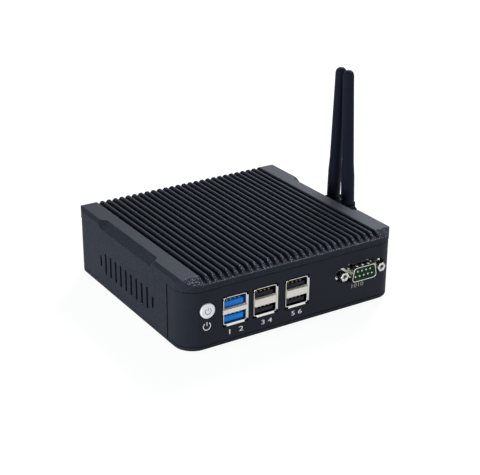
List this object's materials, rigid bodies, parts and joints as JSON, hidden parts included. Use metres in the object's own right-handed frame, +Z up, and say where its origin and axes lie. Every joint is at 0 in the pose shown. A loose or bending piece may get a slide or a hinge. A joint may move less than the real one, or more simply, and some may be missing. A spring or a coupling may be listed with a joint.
{
  "type": "fanless industrial pc",
  "caption": "Compact fanless computer case with a finned cover that sheds its heat, sockets at both ends, a push button and two swivelling aerials on one side.",
  "frame": {"origin": "middle of the four bracket holes, on the base plate's underside, with the feet below it", "axes": "+X along the front panel to the right, +Y from the front panel to the rear panel, +Z up"},
  "size_m": [0.1546, 0.1338, 0.112],
  "materials": {
    "cover_paint": "fine satin powder coat",
    "panel_paint": "fine matt powder coat",
    "foot_rubber": "matt",
    "plated_steel": "nickel plated",
    "board_laminate": "solder mask",
    "processor_package": "laminate with bare silicon die",
    "thermal_silicone": "soft silicone",
    "black_moulding": "moulded",
    "card_laminate": "solder mask",
    "cell_steel": "bright",
    "tinned_shell": "tin plated",
    "cream_moulding": "moulded",
    "blue_moulding": "moulded",
    "dark_moulding": "moulded",
    "green_moulding": "moulded",
    "gold_plate": "plated",
    "white_moulding": "moulded",
    "aerial_moulding": "fine satin"
  },
  "bodies": {
    "case": {"heatsink_cover": "cover_paint", "front_panel": "panel_paint", "rear_panel": "panel_paint", "base_plate": "panel_paint", "rubber_feet": "foot_rubber", "base_screws": "plated_steel", "board_screws": "plated_steel", "card_screws": "plated_steel", "card_standoffs": "plated_steel", "serial_screwlocks": "plated_steel", "display_screwlocks": "plated_steel", "antenna_jacks": "plated_steel", "antenna_jack_nuts": "plated_steel", "power_inlet_pin": "plated_steel", "motherboard": "board_laminate", "processor": "processor_package", "thermal_pad": "thermal_silicone", "memory_socket": "black_moulding", "storage_socket": "black_moulding", "wireless_socket": "black_moulding", "cell_holder": "black_moulding", "power_switch_housing": "black_moulding", "power_inlet_housing": "black_moulding", "video_socket_tongue": "black_moulding", "audio_jacks": "black_moulding", "network_jack_1": "black_moulding", "network_jack_2": "black_moulding", "memory_module": "card_laminate", "storage_card": "card_laminate", "wireless_card": "card_laminate", "coin_cell": "cell_steel", "usb_stack_1_shell": "tinned_shell", "usb_stack_2_shell": "tinned_shell", "usb_stack_3_shell": "tinned_shell", "serial_shell": "tinned_shell", "display_shell": "tinned_shell", "video_socket_shell": "tinned_shell", "usb_stack_1_divider": "cream_moulding", "usb_stack_2_divider": "cream_moulding", "usb_stack_3_divider": "cream_moulding", "usb_stack_1_insulator": "blue_moulding", "display_insulator": "blue_moulding", "usb_stack_2_insulator": "dark_moulding", "usb_stack_3_insulator": "dark_moulding", "serial_insulator": "green_moulding", "usb_stack_1_contacts": "gold_plate", "usb_stack_2_contacts": "gold_plate", "usb_stack_3_contacts": "gold_plate", "serial_pins": "gold_plate", "network_contacts": "gold_plate", "antenna_front_coupling_nut": "aerial_moulding", "antenna_rear_coupling_nut": "aerial_moulding"},
    "button": {"power_button_cap": "white_moulding", "power_switch_plunger": "white_moulding"},
    "front_swivel": {"antenna_front_knuckle": "aerial_moulding", "antenna_front_hinge_pin": "plated_steel"},
    "front_mast": {"antenna_front_mast": "aerial_moulding"},
    "rear_swivel": {"antenna_rear_knuckle": "aerial_moulding", "antenna_rear_hinge_pin": "plated_steel"},
    "rear_mast": {"antenna_rear_mast": "aerial_moulding"}
  },
  "joints": [
    {"name": "button_press", "type": "slide", "parent": "case", "child": "button", "axis": [0, 1, 0], "range_m": [0, 0.0006], "stiffness_N_per_m": 600, "springref_m": -0.002},
    {"name": "front_aerial_swivel", "type": "hinge", "parent": "case", "child": "front_swivel", "pos_m": [0.083, 0.0021, 0.024], "axis": [1, 0, 0], "range_deg": [0, 93]},
    {"name": "front_aerial_tilt", "type": "hinge", "parent": "front_swivel", "child": "front_mast", "pos_m": [0.083, 0.0021, 0.024], "axis": [0, 0.9982, -0.0593], "range_deg": [0, 90]},
    {"name": "rear_aerial_swivel", "type": "hinge", "parent": "case", "child": "rear_swivel", "pos_m": [0.083, 0.0168, 0.024], "axis": [1, 0, 0], "range_deg": [-92, 0]},
    {"name": "rear_aerial_tilt", "type": "hinge", "parent": "rear_swivel", "child": "rear_mast", "pos_m": [0.083, 0.0168, 0.024], "axis": [0, 0.9995, 0.0332], "range_deg": [0, 90]}
  ]
}
